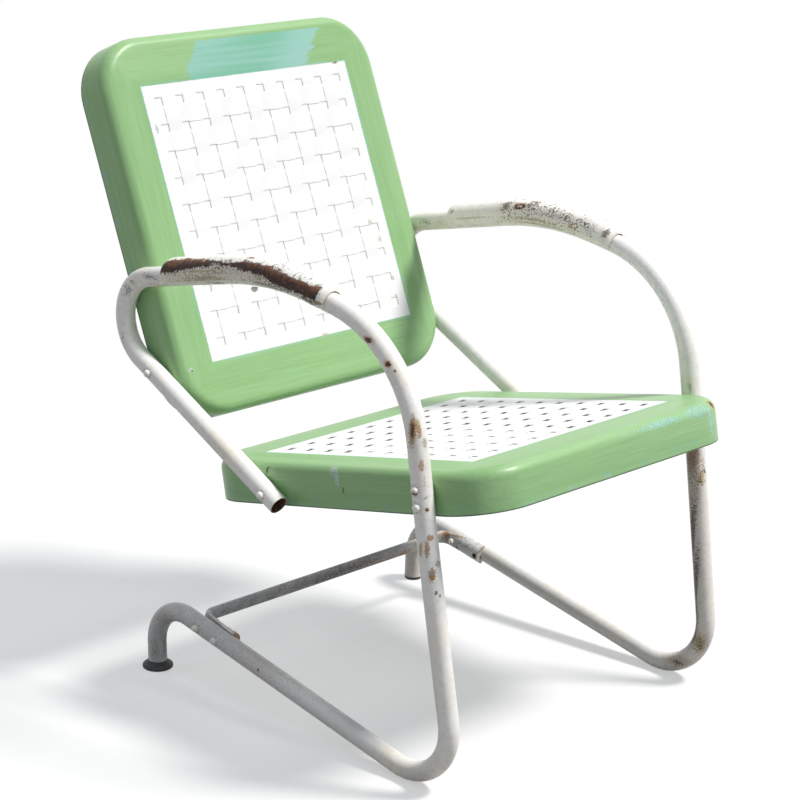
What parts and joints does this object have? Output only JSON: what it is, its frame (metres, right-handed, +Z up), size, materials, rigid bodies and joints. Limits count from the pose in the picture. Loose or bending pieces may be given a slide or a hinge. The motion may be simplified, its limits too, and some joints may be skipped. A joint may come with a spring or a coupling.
{
  "type": "metal spring lawn chair",
  "caption": "Cantilever spring lawn chair: two bent-tube side frames, stamped perforated seat and back, arm caps, rear stretcher, feet, bolts.",
  "frame": {"origin": "on the floor, in the middle of the whole chair's width and depth", "axes": "+Z up, the chair faces -Y, the sitter's right side is at -X"},
  "size_m": [0.5486, 0.746, 0.8168],
  "materials": {
    "tube_paint": "aged cream gloss paint on steel tube, chipped and rust-spotted",
    "pan_paint": "brushed-on green gloss paint with a white woven panel, worn at the edges",
    "cap_paint": "worn cream paint over brown rust",
    "bolt_paint": "painted-over dome heads",
    "nut_steel": "dull weathered steel",
    "foot_rubber": "dusty black rubber"
  },
  "bodies": {
    "base": {"right_base_tube": "tube_paint", "left_base_tube": "tube_paint", "rear_stretcher": "tube_paint", "right_stretcher_rear_bolt": "bolt_paint", "right_stretcher_rear_nut": "nut_steel", "left_stretcher_rear_bolt": "bolt_paint", "left_stretcher_rear_nut": "nut_steel", "right_stretcher_front_bolt": "bolt_paint", "right_stretcher_front_nut": "nut_steel", "right_foot_glide": "foot_rubber", "left_foot_plug": "foot_rubber"},
    "upper": {"right_upper_tube": "tube_paint", "left_upper_tube": "tube_paint", "seat_pan": "pan_paint", "back_pan": "pan_paint", "right_arm_cap": "cap_paint", "left_arm_cap": "cap_paint", "right_arm_cap_nut": "nut_steel", "right_seat_front_upper_bolt": "bolt_paint", "right_seat_front_upper_nut": "nut_steel", "right_seat_front_lower_bolt": "bolt_paint", "right_seat_front_lower_nut": "nut_steel", "right_seat_rear_bolt": "bolt_paint", "right_seat_rear_nut": "nut_steel", "right_back_lower_bolt": "bolt_paint", "right_back_lower_nut": "nut_steel", "right_back_upper_bolt": "bolt_paint", "right_back_upper_nut": "nut_steel", "left_seat_front_upper_bolt": "bolt_paint", "left_seat_front_upper_nut": "nut_steel", "left_seat_front_lower_bolt": "bolt_paint", "left_seat_front_lower_nut": "nut_steel", "left_seat_rear_bolt": "bolt_paint", "left_seat_rear_nut": "nut_steel", "left_back_lower_bolt": "bolt_paint", "left_back_lower_nut": "nut_steel", "left_back_upper_bolt": "bolt_paint", "left_back_upper_nut": "nut_steel"}
  },
  "joints": [
    {"name": "spring_bounce", "type": "hinge", "parent": "base", "child": "upper", "pos_m": [0, -0.25923, 0.0127], "axis": [-1, 0, 0], "range_deg": [-3, 7], "stiffness_Nm_per_rad": 1800, "springref_deg": -0.82}
  ]
}
